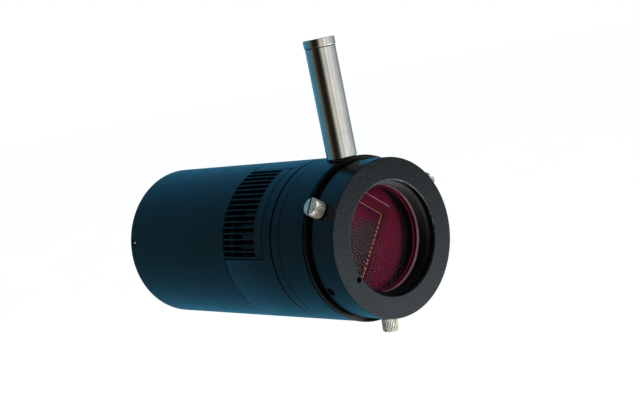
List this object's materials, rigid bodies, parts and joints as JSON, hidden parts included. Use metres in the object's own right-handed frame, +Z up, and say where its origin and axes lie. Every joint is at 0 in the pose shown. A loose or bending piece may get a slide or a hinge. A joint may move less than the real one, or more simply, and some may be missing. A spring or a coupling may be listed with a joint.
{
  "type": "cooled astronomy camera",
  "caption": "Cylindrical cooled astronomy camera with a rotating threaded collar, lock screws, vented cooling section and an upright drying tube.",
  "frame": {"origin": "centre of the adapter collar's front face, on the optical axis", "axes": "+Y backwards along the optical axis, +Z up along the drying tube, +X completes the right-handed frame"},
  "size_m": [0.0669, 0.1364, 0.1164],
  "materials": {
    "anodised_black": "black anodised, satin",
    "anodised_matte": "black anodised, bead blasted matt",
    "nickel_plate": "nickel plated, knurled",
    "black_steel": "black oxide",
    "stainless_steel": "turned and polished lengthwise",
    "coated_glass": "clear with magenta anti-reflection coating",
    "rubber": "matt",
    "package_ceramic": "ceramic",
    "silicon": "polished silicon",
    "circuit_board": "solder mask",
    "bare_aluminium": "machined",
    "copper": "machined",
    "cooler_ceramic": "ceramic",
    "black_plastic": "moulded",
    "desiccant_beads": "beads",
    "led_lens": "clear tinted"
  },
  "bodies": {
    "collar": {"adapter_ring": "anodised_matte", "grub_screw_1": "black_steel", "grub_screw_2": "black_steel", "grub_screw_3": "black_steel"},
    "lock_stud_1": {"lock_screw_stud_1": "nickel_plate"},
    "lock_stud_2": {"lock_screw_stud_2": "nickel_plate"},
    "lock_stud_3": {"lock_screw_stud_3": "nickel_plate"},
    "lock_head_1": {"lock_screw_head_1": "nickel_plate"},
    "lock_head_2": {"lock_screw_head_2": "nickel_plate"},
    "lock_head_3": {"lock_screw_head_3": "nickel_plate"},
    "camera": {"chamber_housing": "anodised_black", "window_cell": "anodised_matte", "window_glass": "coated_glass", "window_seal": "rubber", "sensor_package": "package_ceramic", "sensor_die": "silicon", "sensor_board": "circuit_board", "chamber_back": "anodised_black", "chamber_seal": "rubber", "cold_finger": "copper", "peltier_cooler": "cooler_ceramic", "heat_sink": "anodised_black", "fan_frame": "black_plastic", "vent_shell": "anodised_black", "grille_left": "anodised_black", "grille_right": "anodised_black", "joining_ring": "anodised_black", "rear_shell": "anodised_black", "main_board": "circuit_board", "power_board": "circuit_board", "socket_board": "circuit_board", "board_spacer_1": "nickel_plate", "board_spacer_2": "nickel_plate", "board_spacer_3": "nickel_plate", "board_spacer_4": "nickel_plate", "rear_cover": "anodised_black", "cover_screw_1": "black_steel", "cover_screw_2": "black_steel", "cover_screw_3": "black_steel", "usb_socket": "bare_aluminium", "power_socket": "black_plastic", "status_lamp": "led_lens"},
    "fan_rotor": {"fan_rotor": "black_plastic"},
    "tube_carrier": {"tube_seal": "rubber"},
    "drying_tube": {"drying_tube": "stainless_steel", "desiccant_pack": "desiccant_beads"},
    "cap_carrier": {"cap_seal": "rubber"},
    "tube_cap": {"tube_cap": "stainless_steel"}
  },
  "joints": [
    {"name": "framing_rotation", "type": "hinge", "parent": "collar", "child": "camera", "pos_m": [0, 0, 0], "axis": [0, 1, 0], "continuous": true},
    {"name": "fan_spin", "type": "hinge", "parent": "camera", "child": "fan_rotor", "pos_m": [0, 0.061, 0], "axis": [0, 1, 0], "continuous": true},
    {"name": "tube_travel", "type": "slide", "parent": "camera", "child": "tube_carrier", "axis": [0, 0, 1], "range_m": [0, 0.0041]},
    {"name": "tube_turn", "type": "hinge", "parent": "tube_carrier", "child": "drying_tube", "pos_m": [0, 0.0203, 0], "axis": [0, 0, 1], "range_deg": [0, 1440]},
    {"name": "cap_travel", "type": "slide", "parent": "drying_tube", "child": "cap_carrier", "axis": [0, 0, 1], "range_m": [0, 0.0041]},
    {"name": "cap_turn", "type": "hinge", "parent": "cap_carrier", "child": "tube_cap", "pos_m": [0, 0.0203, 0], "axis": [0, 0, 1], "range_deg": [0, 1440]},
    {"name": "lock_screw_travel_1", "type": "slide", "parent": "collar", "child": "lock_stud_1", "axis": [0.8965, 0, 0.4431], "range_m": [0, 0.00201]},
    {"name": "lock_screw_turn_1", "type": "hinge", "parent": "lock_stud_1", "child": "lock_head_1", "pos_m": [0, 0.0088, 0], "axis": [0.8965, 0, 0.4431], "range_deg": [0, 1440]},
    {"name": "lock_screw_travel_2", "type": "slide", "parent": "collar", "child": "lock_stud_2", "axis": [-0.832, 0, 0.5548], "range_m": [0, 0.00201]},
    {"name": "lock_screw_turn_2", "type": "hinge", "parent": "lock_stud_2", "child": "lock_head_2", "pos_m": [0, 0.0088, 0], "axis": [-0.832, 0, 0.5548], "range_deg": [0, 1440]},
    {"name": "lock_screw_travel_3", "type": "slide", "parent": "collar", "child": "lock_stud_3", "axis": [-0.0645, 0, -0.9979], "range_m": [0, 0.00201]},
    {"name": "lock_screw_turn_3", "type": "hinge", "parent": "lock_stud_3", "child": "lock_head_3", "pos_m": [0, 0.0088, 0], "axis": [-0.0645, 0, -0.9979], "range_deg": [0, 1440]}
  ],
  "couplings": [
    {"joint": "tube_travel", "follows": "tube_turn", "m_per_rad": 0.00015915},
    {"joint": "cap_travel", "follows": "cap_turn", "m_per_rad": 0.00015915},
    {"joint": "lock_screw_travel_1", "follows": "lock_screw_turn_1", "m_per_rad": 0.000079577},
    {"joint": "lock_screw_travel_2", "follows": "lock_screw_turn_2", "m_per_rad": 0.000079577},
    {"joint": "lock_screw_travel_3", "follows": "lock_screw_turn_3", "m_per_rad": 0.000079577}
  ]
}
